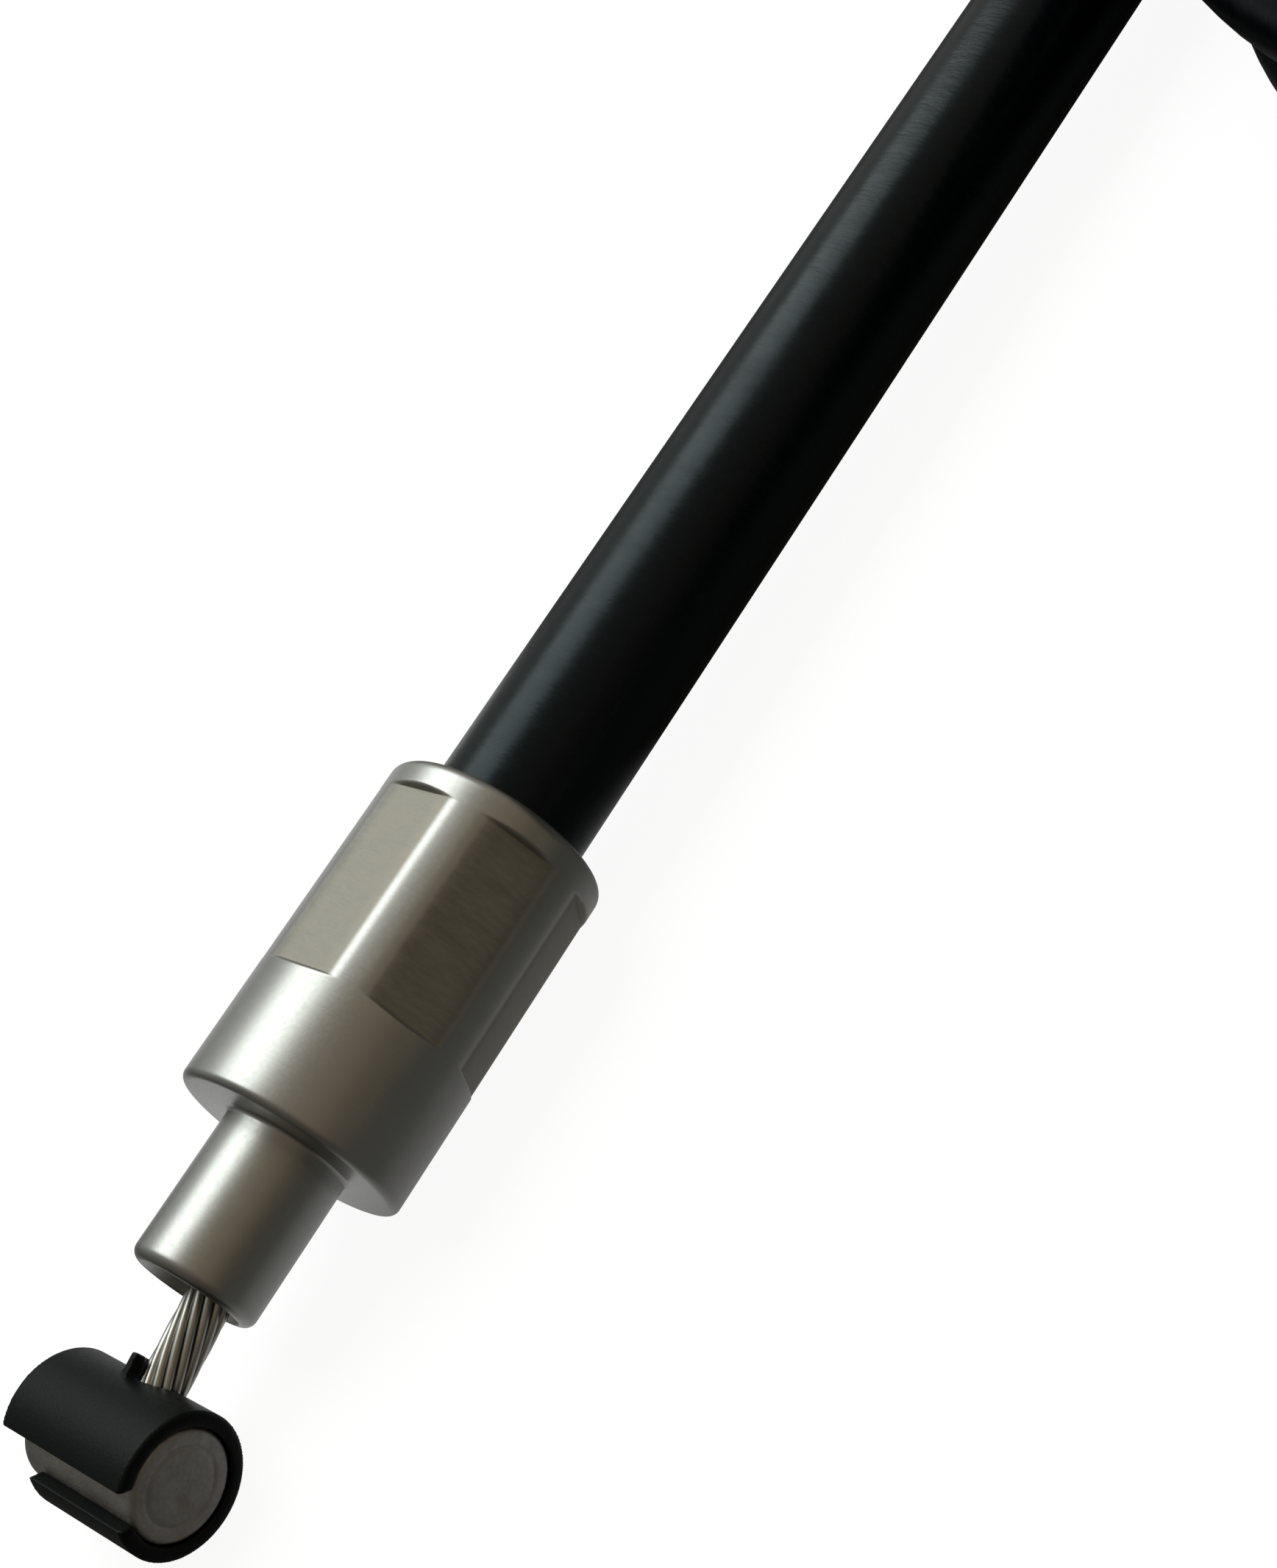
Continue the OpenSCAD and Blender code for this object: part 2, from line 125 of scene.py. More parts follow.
class CableColours(bpy.types.PropertyGroup):
    """Colours of the cable's finishes."""

    plated_steel: colour("Plated steel", "Ferrule and adjuster", (0.36, 0.36, 0.345))
    crimped_steel: colour("Crimped steel", "Pressed flats of the ferrule", (0.264, 0.250, 0.218))
    casing: colour("Casing", "Extruded plastic cover", (0.0012, 0.002, 0.0028))
    wire: colour("Wire", "Drawn steel wire, dull with handling", (0.43, 0.42, 0.39))
    nipple: colour("Nipple", "Die-cast zinc alloy", (0.36, 0.345, 0.33))
    bush: colour("Bush", "Moulded charcoal nylon", (0.0024, 0.004, 0.0038))
    liner: colour("Liner", "Milky slippery plastic", (0.80, 0.79, 0.72))
    armour: colour("Armour", "Flat wound steel wire", (0.42, 0.42, 0.41))
    tie: colour("Tie", "Black nylon of the cable ties", (0.018, 0.018, 0.018))
    nut: colour("Nut", "Yellow passivated steel of nuts and washers", (0.60, 0.52, 0.34))
    rubber: colour("Rubber", "Moulded black rubber of the dust boot", (0.014, 0.014, 0.014))


class CableStage(bpy.types.PropertyGroup):
    """Floor, lamps and camera."""

    floor: colour("Floor", "Colour of the pale floor", (0.12, 0.12, 0.12))
    floor_glow: number("Floor glow", "Light that the floor adds to what the camera sees", 0.93)
    # Strength of the painted pool of light on the floor behind the ferrule, seen only in reflections
    painted_pool_glow: number("Floor in reflections", "Light of the floor behind the ferrule in what metal shows", 0.66)
    warm: colour("Warm side", "Colour of the surroundings in front", (1.0, 0.83, 0.62))
    cool: colour("Cool side", "Colour of the surroundings behind", (0.97, 1.0, 0.96))
    softbox: colour("Softbox", "Colour of the large softbox", (0.93, 1.0, 0.985))
    softbox_power: number("Softbox power", "Power of the large softbox", 6.0, unit="POWER")
    softbox_width: metres("Softbox width", "Side along the cable", 0.80)
    softbox_height: metres("Softbox height", "Side across the cable", 0.62)
    softbox_distance: metres("Softbox distance", "From the ferrule to the softbox", 0.9)
    camera_place: bpy.props.FloatVectorProperty(
        name="Camera place", description="Where the camera stands", size=3, subtype="TRANSLATION", precision=6,
        default=(-0.01988426, -0.08723943, 0.07823061),
    )
    camera_turn: bpy.props.FloatVectorProperty(
        name="Camera turn", description="Heading from +Y towards +X, look down and roll", size=3, subtype="EULER",
        default=(radians(27.61029), radians(40.56793), radians(38.09602)),
    )
    lens_mm: number("Lens", "Focal length of the camera", 58.80617)


# ---------------------------------------------------------------- meshes

def enclosed(points, faces):
    """Six times the volume inside the faces, negative where they point inwards."""
    tri = np.array([(f[0], f[i], f[i + 1]) for f in faces for i in range(1, len(f) - 1)])
    a, b, c = (points[tri[:, i]] for i in range(3))
    return np.einsum("ij,ij->i", a, np.cross(b, c)).sum()


def oriented(points, faces):
    """Faces turned outwards."""
    outwards = enclosed(np.asarray(points, float), faces) > 0
    return [tuple(f) if outwards else tuple(reversed(f)) for f in faces]


def linked(name, data):
    """A new object in the scene."""
    made = bpy.data.objects.new(name, data)
    bpy.context.scene.collection.objects.link(made)
    return made


def evaluated(holder):
    """The mesh that an object's modifiers make of it; the object goes."""
    mesh = bpy.data.meshes.new_from_object(holder.evaluated_get(bpy.context.evaluated_depsgraph_get()))
    bpy.data.objects.remove(holder)
    return mesh


def stand(name, data, side, up, back, place):
    """An object at a place that looks away from back."""
    made = linked(name, data)
    made.matrix_world = Matrix([*np.stack([side, up, back, place], 1).tolist(), [0, 0, 0, 1]])
    return made


def finish_mesh(name, mesh, material, sharp=40.0):
    """An object at the origin that shows mesh, smooth apart from edges sharper than an angle."""
    mesh.name = name
    mesh.shade_smooth()
    mesh.set_sharp_from_angle(angle=radians(sharp))
    mesh.materials.clear()
    mesh.materials.append(material)
    return linked(name, mesh)


def arc(cx, cy, radius, start, end, steps=8):
    """Points on an arc of a section."""
    turns = [radians(start + (end - start) * i / steps) for i in range(steps + 1)]
    return [(cx + radius * cos(t), cy + radius * sin(t)) for t in turns]


def rows(start, end, step):
    """Even stations from start to end, both of them included."""
    count = max(1, round(abs(end - start) / step))
    return [start + (end - start) * i / count for i in range(count + 1)]


def level(radius, start, end, step):
    """Even stations of a section at one radius."""
    return [(x, radius) for x in rows(start, end, step)]


def turned(section, sides, shape=None):
    """Points and faces of a section of (distance along, radius) turned round the first axis.

    A section with zero radius at its ends closes in poles, any other section closes on itself.
    shape(along, radius, angle) gives the radius of points that aren't round."""
    angle = np.arange(sides) * 2 * pi / sides
    points, starts = [], []
    for along, radius in section:
        starts.append((len(points), radius == 0))
        if radius == 0:
            points.append((along, 0.0, 0.0))
            continue
        r = np.full(sides, float(radius)) if shape is None else shape(along, radius, angle)
        points += list(zip(np.full(sides, along), r * np.cos(angle), r * np.sin(angle)))
    poles = starts[0][1]
    faces = []
    for (a, a_pole), (b, b_pole) in zip(starts, starts[1:] + ([] if poles else starts[:1])):
        for j in range(sides):
            k = (j + 1) % sides
            if a_pole:
                faces.append((a, b + j, b + k))
            elif b_pole:
                faces.append((a + j, b, a + k))
            else:
                faces.append((a + j, b + j, b + k, a + k))
    return np.array(points), faces


def on_lower(points, at=0.0):
    """Points drawn along +X moved into the lower end's line."""
    x, y, z = np.asarray(points).T
    return np.stack([LOWER_X - at - x, LOWER_Y - y, LOWER_Z + z], 1)


def turned_low(section, sides, shape=None, at=0.0):
    """Points and faces of a turned section on the lower end's line, from a station on."""
    points, faces = turned(section, sides, shape)
    return on_lower(points, at), faces


def across(points, centre):
    """Points drawn along +X laid along +Y round a centre."""
    x, y, z = np.asarray(points).T
    return np.stack([centre[0] + y, centre[1] + x, centre[2] + z], 1)


def bar_section(radius, length, edge):
    """Section of a round bar with rounded edges and rings on both faces."""
    half = length / 2
    rings = rows(0.12, radius - edge - 0.04, 0.09)
    return (
        [(-half, 0.0)]
        + [(-half, r) for r in rings]
        + arc(-half + edge, radius - edge, edge, 180, 90, 7)
        + level(radius, -half + edge + 0.3, half - edge - 0.3, 0.5)
        + arc(half - edge, radius - edge, edge, 90, 0, 7)
        + [(half, r) for r in reversed(rings)]
        + [(half, 0.0)]
    )


def smooth_least(a, b, soft):
    """The smaller of two numbers with the crease between them rounded."""
    h = np.clip(0.5 + 0.5 * (b - a) / soft, 0, 1)
    return b + (a - b) * h - soft * h * (1 - h)


def hexagon(angle, flat, first):
    """Radius of a hexagon at an angle, from half its width across flats and where a flat lies."""
    sixth = pi / 3
    return flat / np.cos((angle - first + sixth / 2) % sixth - sixth / 2)


def grid_faces(rings, sides, closed=False):
    """Four-sided faces between rings of points, and from the last ring to the first where closed."""
    return [
        (a + j, a + (j + 1) % sides, b + (j + 1) % sides, b + j)
        for a, b in ((i * sides, (i + 1) % rings * sides) for i in range(rings if closed else rings - 1))
        for j in range(sides)
    ]


def spline(p0, p1, p2, p3, t):
    """A point between p1 and p2 on the smooth curve through four points."""
    return 0.5 * (2 * p1 + (p2 - p0) * t + (2 * p0 - 5 * p1 + 4 * p2 - p3) * t * t
                  + (3 * p1 - p0 - 3 * p2 + p3) * t ** 3)


# ---------------------------------------------------------------- casing route

def coil_radius(a):
    """Radius of the coil's middle line after an angle of travel: inwards for half of it, and out again."""
    return COIL_R - COIL_PITCH * min(a, COIL_TRAVEL - a) / 360.0


def casing_path():
    """The casing's middle line in millimetres: straight out of the ferrule, 2.5 turns, and the tail."""
    line = [(x, 0.0, 0.0) for x in rows(18.2, 98.0, 2.0)]
    for a in rows(0.0, COIL_TRAVEL, 2.5):
        radius = coil_radius(a)
        rise = min(1.0, max(0.0, (a - 360.0) / 180.0))
        turn = radians(a)
        line.append((COIL_X + radius * sin(turn), COIL_Y + radius * cos(turn), COIL_PITCH * (1 - cos(pi * rise)) / 2))
    line += [(x, LOWER_Y, COIL_PITCH) for x in (100.0, 98.0, 96.0, 94.0)]
    tail_x, span = 94.0, 4.0
    heights = [8.5, 8.5, 8.3, 7.7, 6.6, 5.1, 3.6, 2.6, 2.0, 1.75, 1.75]
    for i in range(1, 9):
        for t in (0.25, 0.5, 0.75, 1.0):
            line.append((tail_x - span * (i - 1 + t), LOWER_Y, spline(*heights[i - 1:i + 3], t)))
    line = np.array(line)
    for _ in range(6):
        line[2:-2] = (line[1:-3] + 2 * line[2:-2] + line[3:-1]) / 4
    return line


def tube(line, radius, sides):
    """Points and faces of a closed tube along a line, with each point's place along and round it."""
    heading = np.gradient(line, axis=0)
    heading[0] = heading[-1] = 0
    heading[0][0], heading[-1][0] = np.sign(line[1][0] - line[0][0]), np.sign(line[-1][0] - line[-2][0])
    heading /= np.linalg.norm(heading, axis=1, keepdims=True)
    side = np.stack([-heading[:, 1], heading[:, 0], np.zeros(len(line))], 1)
    side /= np.linalg.norm(side, axis=1, keepdims=True)
    up = np.cross(heading, side)
    turn = np.arange(sides) * 2 * pi / sides
    out = side[:, None] * np.cos(turn)[None, :, None] + up[:, None] * np.sin(turn)[None, :, None]
    points = (line[:, None] + radius * out).reshape(-1, 3)
    count = len(line)
    faces = grid_faces(count, sides) + [tuple(range(sides)), tuple(range((count - 1) * sides, count * sides))]
    along = np.concatenate([[0], np.cumsum(np.linalg.norm(np.diff(line, axis=0), axis=1))])
    around = np.stack([np.cos(turn), np.sin(turn), 0 * turn], 1)
    return points, faces, np.repeat(along, sides), np.tile(around, (count, 1))


def store(piece, name, values):
    """A point attribute that the piece's material reads, of numbers or of vectors."""
    kind, field = ("FLOAT_VECTOR", "vector") if values.ndim > 1 else ("FLOAT", "value")
    attribute = piece.data.attributes.new(name, kind, "POINT")
    attribute.data.foreach_set(field, values.astype(np.float32).ravel())


# ---------------------------------------------------------------- node trees

class Tree:
    """Short hand for building a node tree."""

    def __init__(self, tree):
        self.tree = tree

    def node(self, kind, *links, **named):
        """A node with its settings, and its inputs linked or set in order or by name. Inputs start with a capital."""
        made = self.tree.nodes.new(kind)
        inputs = {key.replace("_", " "): named.pop(key) for key in list(named) if key[0].isupper()}
        for key, value in named.items():
            setattr(made, key, value)
        for socket, value in zip([s for s in made.inputs if s.enabled], links):
            self.feed(socket, value)
        for label, value in inputs.items():
            self.feed(made.inputs[label], value)
        return made

    def feed(self, socket, value):
        """Links a socket to another one, or sets its value."""
        if isinstance(value, bpy.types.Node):
            value = next(s for s in value.outputs if s.enabled)
        if isinstance(value, bpy.types.NodeSocket):
            self.tree.links.new(value, socket)
        else:
            socket.default_value = value

    def math(self, operation, *values):
        """The result of a math node."""
        return self.node("ShaderNodeMath", *values, operation=operation).outputs[0]

    def times(self, first, second):
        """The product of two values."""
        return self.math("MULTIPLY", first, second)

    def plus(self, first, second):
        """The sum of two values."""
        return self.math("ADD", first, second)

    def split(self, vector):
        """The three parts of a vector."""
        return self.node("ShaderNodeSeparateXYZ", vector).outputs

    def vector(self, operation, *values):
        """The result of a vector math node."""
        made = self.node("ShaderNodeVectorMath", *values, operation=operation)
        return next(s for s in made.outputs if s.enabled)


def node_group(kind, name, inputs, outputs, result="Float"):
    """A node group: its tree, what it is given and what it gives.

    inputs gives each input's value, or its type where it has none; result is the type of all its outputs."""
    tree = bpy.data.node_groups.new(name, kind)
    types = {float: "Float", int: "Int", tuple: "Vector"}
    for label, value in inputs.items():
        socket_type = types.get(type(value), value)
        socket = tree.interface.new_socket(label, in_out="INPUT", socket_type="NodeSocket" + socket_type)
        if type(value) in types:
            socket.default_value = value
    for label in outputs:
        tree.interface.new_socket(label, in_out="OUTPUT", socket_type="NodeSocket" + result)
    t = Tree(tree)
    return t, t.node("NodeGroupInput").outputs, t.node("NodeGroupOutput").inputs


def geometry_tree(name, inputs):
    """A geometry node tree with a Geometry input and output and named inputs, a material among them."""
    inputs = {"Geometry": "Geometry"} | inputs | {"Material": "Material"}
    return node_group("GeometryNodeTree", name, inputs, ["Geometry"], "Geometry")


def paint(t, given, result, geometry):
    """Ends a geometry tree with real geometry in the given material."""
    real = t.node("GeometryNodeRealizeInstances", geometry)
    painted = t.node("GeometryNodeSetMaterial", Geometry=real, Material=given["Material"])
    t.feed(result[0], painted)
    return t.tree


def strand_tree():
    """Wires laid round a core along the object's line: one core wire, six round it and twelve outside."""
    t, given, result = geometry_tree("laid_strand", {"Wire diameter": 0.000448, "Lay": 0.021, "Sides": 10})
    wire, lay = given["Wire diameter"], given["Lay"]
    line = t.node("GeometryNodeMeshToCurve", given["Geometry"])
    length = t.node("GeometryNodeSplineParameter").outputs["Length"]
    layers = t.node("GeometryNodeJoinGeometry")
    round_wire = t.node(
        "GeometryNodeCurvePrimitiveCircle", mode="RADIUS", Resolution=given["Sides"], Radius=t.times(wire, 0.5),
    )
    normal = t.node("GeometryNodeInputNormal").outputs["Normal"]
    side = t.vector("CROSS_PRODUCT", t.node("GeometryNodeInputTangent").outputs[0], normal)
    for count, ring, share in ((1, 0.0, 1.0), (6, 1.0, 0.62), (12, 2.0, 1.0)):
        copies = t.node("GeometryNodeDuplicateElements", domain="SPLINE", Geometry=line, Amount=count)
        start = t.times(copies.outputs["Duplicate Index"], 2 * pi / count)
        turn = t.times(t.math("DIVIDE", length, t.times(lay, share)), -2 * pi)
        angle = t.plus(start, turn)
        reach = t.times(wire, ring)
        parts = [
            t.node("ShaderNodeVectorMath", way, operation="SCALE", Scale=t.times(t.math(part, angle), reach))
            for way, part in ((normal, "COSINE"), (side, "SINE"))
        ]
        copied = copies.outputs["Geometry"]
        moved = t.node("GeometryNodeSetPosition", Geometry=copied, Offset=t.vector("ADD", *parts))
        swept = t.node("GeometryNodeCurveToMesh", Curve=moved, Profile_Curve=round_wire, Fill_Caps=True)
        t.feed(layers.inputs[0], swept)
    return paint(t, given, result, layers)


def tooth_tree():
    """Small ribs across a strip, one on each point of the object's line."""
    t, given, result = geometry_tree("strap_ribs", {"Pitch": 0.0012, "Width": 0.003, "Height": 0.0004})
    line = t.node("GeometryNodeMeshToCurve", given["Geometry"])
    stations = t.node("GeometryNodeCurveToPoints", mode="LENGTH", Curve=line, Length=given["Pitch"])
    rib = t.node("GeometryNodeMeshCylinder", Vertices=12, Radius=given["Height"], Depth=given["Width"])
    flat = t.node("GeometryNodeTransform", Geometry=rib.outputs["Mesh"], Rotation=(pi / 2, 0.0, 0.0))
    placed = t.node("GeometryNodeInstanceOnPoints", Points=stations.outputs["Points"], Instance=flat)
    return paint(t, given, result, placed)


def grown(name, line, tree, values):
    """A plain mesh piece from a line in millimetres and a geometry node tree."""
    points = (np.asarray(line, float) * MM).tolist()
    mesh = bpy.data.meshes.new(name + "_line")
    mesh.from_pydata(points, [(i, i + 1) for i in range(len(points) - 1)], [])
    holder = linked(name + "_line", mesh)
    modifier = holder.modifiers.new("shape", "NODES")
    modifier.node_group = tree
    for socket in tree.interface.items_tree:
        if socket.item_type == "SOCKET" and socket.in_out == "INPUT" and socket.name in values:
            modifier[socket.identifier] = values[socket.name]
    return finish_mesh(name, evaluated(holder), values["Material"])


def noise(t, vector, scale, detail, roughness):
    """The value of a noise texture."""
    made = t.node("ShaderNodeTexNoise", Vector=vector, Scale=scale, Detail=detail, Roughness=roughness)
    return made.outputs[0]


def spread(t, value, low, high, to_low=0.0, to_high=1.0):
    """A value brought from one range to another and held inside it."""
    return t.node("ShaderNodeMapRange", value, low, high, to_low, to_high, clamp=True).outputs[0]


def mixed(t, share, first, second):
    """A colour between two others."""
    made = t.node("ShaderNodeMix", data_type="RGBA")
    t.feed(made.inputs[0], share)
    for socket, value in zip([s for s in made.inputs if s.type == "RGBA"], (first, second)):
        t.feed(socket, value if isinstance(value, bpy.types.NodeSocket) else (*value, 1.0))
    return next(s for s in made.outputs if s.type == "RGBA")


def mottle_group():
    """Soft patches and fine specks of a handled surface, in sizes per millimetre."""
    t, given, result = node_group(
        "ShaderNodeTree", "mottle", {"Vector": (0, 0, 0), "Patch scale": 0.35, "Speck scale": 6.0},
        ["Patches", "Specks"],
    )
    patches = noise(t, given["Vector"], given["Patch scale"], 4.0, 0.6)
    specks = noise(t, given["Vector"], given["Speck scale"], 2.0, 0.5)
    t.feed(result["Patches"], spread(t, patches, 0.3, 0.7))
    t.feed(result["Specks"], spread(t, specks, 0.45, 0.75))
    return t.tree


def lines_group():
    """Fine lines across the first axis of a vector, broken up along the others."""
    t, given, result = node_group(
        "ShaderNodeTree", "fine_lines", {"Vector": (0, 0, 0), "Lines": 6.0, "Break": 0.25}, ["Lines"],
    )
    split = t.split(given["Vector"])
    scales = ("Lines", "Break", "Break")
    joined = t.node("ShaderNodeCombineXYZ", *(t.times(split[i], given[scales[i]]) for i in range(3)))
    t.feed(result["Lines"], spread(t, noise(t, joined, 1.0, 3.0, 0.7), 0.3, 0.7))
    return t.tree


# ---------------------------------------------------------------- finishes

GROUP_MAKERS = {"mottle": mottle_group, "fine_lines": lines_group}
FINISH = "_finish"


def group(t, name, **values):
    """The outputs of a node that uses one of the shader groups, with its inputs by name."""
    tree = bpy.data.node_groups.get(name) or GROUP_MAKERS[name]()
    return t.node("ShaderNodeGroup", node_tree=tree, **values).outputs


def material(name, **constants):
    """A new material with constants on its shader: the material, its tree and its shader."""
    made = bpy.data.materials.new(name + FINISH)
    made.use_nodes = True
    shader = made.node_tree.nodes["Principled BSDF"]
    for label, value in constants.items():
        shader.inputs[label.replace("_", " ")].default_value = value
    return made, Tree(made.node_tree), shader


def in_mm(t):
    """Object coordinates in millimetres."""
    return t.vector("MULTIPLY", t.node("ShaderNodeTexCoord").outputs["Object"], (1000.0, 1000.0, 1000.0))


def surface(t, shader, base, rough, height, depth):
    """Feeds the shader's colour, its roughness and, from a height, its normal; depth is in metres."""
    t.feed(shader.inputs["Base Color"], base)
    t.feed(shader.inputs["Roughness"], rough)
    bump = t.node("ShaderNodeBump", Distance=depth, Strength=1.0, Height=height)
    t.feed(shader.inputs["Normal"], bump)


def attribute(t, name, output="Fac"):
    """The value of the piece's own attribute."""
    return t.node("ShaderNodeAttribute", attribute_name=name).outputs[output]


def shade(rgb, factor):
    """A colour made lighter or darker."""
    return tuple(min(1.0, c * factor) for c in rgb)


def plated_steel(c):
    """Bright plating with turning lines, and rough crosswise press marks on the flats."""
    made, t, shader = material("plated_steel", Metallic=1.0)
    mm = in_mm(t)
    mottle = group(t, "mottle", Vector=mm, Patch_scale=0.22, Speck_scale=5.0)
    turning, press, smear = (
        group(t, "fine_lines", Vector=mm, Lines=lines, Break=gap)["Lines"]
        for lines, gap in ((7.0, 0.12), (4.5, 0.9), (1.3, 0.35))
    )
    flat = attribute(t, "crimped")
    bright = mixed(t, mottle["Patches"], shade(c.plated_steel, 0.94), c.plated_steel)
    marks = t.plus(t.times(press, 0.45), t.times(smear, 0.55))
    pressed = mixed(t, marks, shade(c.crimped_steel, 0.80), shade(c.crimped_steel, 1.22))
    smooth = spread(t, mottle["Specks"], 0.0, 1.0, 0.36, 0.42)
    rough = spread(t, marks, 0.0, 1.0, 0.54, 0.68)
    more = t.times(t.math("SUBTRACT", rough, smooth), flat)
    dents = t.times(t.times(press, flat), 1.6)
    height = t.plus(t.times(turning, 0.25), dents)
    surface(t, shader, mixed(t, flat, bright, pressed), t.plus(smooth, more), height, 0.000006)
    return made


def casing_plastic(c):
    """Black extruded plastic: faint rings along the casing and scuffs that catch the light."""
    made, t, shader = material("casing_plastic", Specular_IOR_Level=0.175, Specular_Tint=(0.76, 0.93, 1.0, 1.0))
    along = t.times(attribute(t, "along"), 1000.0)
    around = t.split(attribute(t, "around", "Vector"))
    place = t.node("ShaderNodeCombineXYZ", along, t.times(around[0], 4.0), t.times(around[1], 4.0))
    rings = group(t, "fine_lines", Vector=place, Lines=1.1, Break=0.35)["Lines"]
    fine = group(t, "fine_lines", Vector=place, Lines=5.0, Break=1.0)["Lines"]
    mottle = group(t, "mottle", Vector=place, Patch_scale=0.12, Speck_scale=2.5)
    base = mixed(t, mottle["Specks"], c.casing, shade(c.casing, 1.9))
    scuffs = t.plus(t.times(fine, 0.04), t.times(rings, 0.07))
    rough = t.plus(spread(t, mottle["Patches"], 0.0, 1.0, 0.20, 0.27), scuffs)
    surface(t, shader, base, rough, t.plus(rings, t.times(fine, 0.35)), 0.00001)
    return made


def wound_steel(c):
    """The armour's flat wire: seams between its turns, close together along the casing."""
    made, t, shader = material("wound_steel", Metallic=1.0)
    mm = in_mm(t)
    turns = t.math("DIVIDE", t.split(mm)[0], 1.5)
    seam = t.math("ABSOLUTE", t.math("SUBTRACT", t.math("FRACT", turns), 0.5))
    gap = spread(t, seam, 0.42, 0.5)
    mottle = group(t, "mottle", Vector=mm, Patch_scale=0.6, Speck_scale=6.0)
    base = mixed(t, mottle["Patches"], shade(c.armour, 0.85), c.armour)
    rough = spread(t, mottle["Specks"], 0.0, 1.0, 0.35, 0.5)
    surface(t, shader, mixed(t, gap, base, shade(c.armour, 0.2)), rough, t.math("SUBTRACT", 1.0, gap), 0.0001)
    return made


HEIGHTS = {
    "specks": lambda t, mm, mottle: mottle["Specks"],
    "patches": lambda t, mm, mottle: mottle["Patches"],
    "both": lambda t, mm, mottle: t.plus(mottle["Specks"], mottle["Patches"]),
    "turned": lambda t, mm, mottle: group(t, "fine_lines", Vector=mm, Lines=6.0, Break=0.1)["Lines"],
}


def clouded(name, rgb, shares, scales, rough, depth, height="specks", gloss="Specks", **constants):
    """A finish with patches in its colour and small changes in its gloss and height.

    shares are its colour's darkest and lightest share, scales are patches and specks per millimetre, rough is
    the range of its roughness, and depth is in metres."""
    made, t, shader = material(name, **constants)
    mm = in_mm(t)
    mottle = group(t, "mottle", Vector=mm, Patch_scale=scales[0], Speck_scale=scales[1])
    base = mixed(t, mottle["Patches"], shade(rgb, shares[0]), shade(rgb, shares[1]))
    surface(t, shader, base, spread(t, mottle[gloss], 0.0, 1.0, *rough), HEIGHTS[height](t, mm, mottle), depth)
    return made


PLAIN, METAL = (0.82, 1.12), {"Metallic": 1.0}
WORKED = {"plated_steel": plated_steel, "casing_plastic": casing_plastic, "wound_steel": wound_steel}
# Colour, and what clouded() takes
CLOUDED = {
    "turned_steel": ("plated_steel", (0.88, 1.0), (0.3, 5.0), (0.30, 0.36), 0.0000015, METAL | {"height": "turned"}),
    "wire_steel": ("wire", (0.78, 1.0), (0.8, 9.0), (0.32, 0.37), 0.000002, METAL | {"height": "patches"}),
    "nipple_metal": (
        "nipple", (0.8, 1.1), (0.55, 5.0), (0.52, 0.66), 0.000008, {"height": "both", "Metallic": 0.85}),
    "bush_plastic": (
        "bush", (0.85, 1.15), (0.5, 7.0), (0.42, 0.49), 0.000006, {"gloss": "Patches", "Specular_IOR_Level": 0.12}),
    "liner_plastic": ("liner", PLAIN, (0.4, 5.0), (0.30, 0.42), 0.000004, {}),
    "tie_plastic": ("tie", PLAIN, (0.4, 4.0), (0.40, 0.52), 0.00001, {}),
    "nut_steel": ("nut", PLAIN, (0.5, 3.0), (0.32, 0.44), 0.000002, METAL),
    "boot_rubber": ("rubber", PLAIN, (0.3, 4.0), (0.55, 0.67), 0.00002, {}),
}


def finish_of(name):
    """The material of a finish, made when it is first used."""
    made = bpy.data.materials.get(name + FINISH)
    colours = bpy.context.scene.cable_colours
    if made is None and name in WORKED:
        made = WORKED[name](colours)
    elif made is None:
        colour_name, *how, more = CLOUDED[name]
        made = clouded(name, getattr(colours, colour_name), *how, **more)
    return made


def settle(piece, body, slot, *nodes):
    """Says what body a piece rides on and the CAD nodes that it stands for; its material slot is not used."""
    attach(piece, body)
    if nodes:
        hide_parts(*nodes)
    return piece


def add(name, shape, body, slot, *nodes, sharp=40.0, finish=None):
    """A piece from points in millimetres and faces, settled on its body and in its slot's finish or another one."""
    points, faces = np.asarray(shape[0], float) * MM, shape[1]
    mesh = bpy.data.meshes.new(name)
    mesh.from_pydata(points.tolist(), [], faces)
    if enclosed(points, faces) < 0:
        mesh.flip_normals()
    mesh.update()
    return settle(finish_mesh(name, mesh, finish_of(finish or slot), sharp), body, slot, *nodes)


# ---------------------------------------------------------------- operators

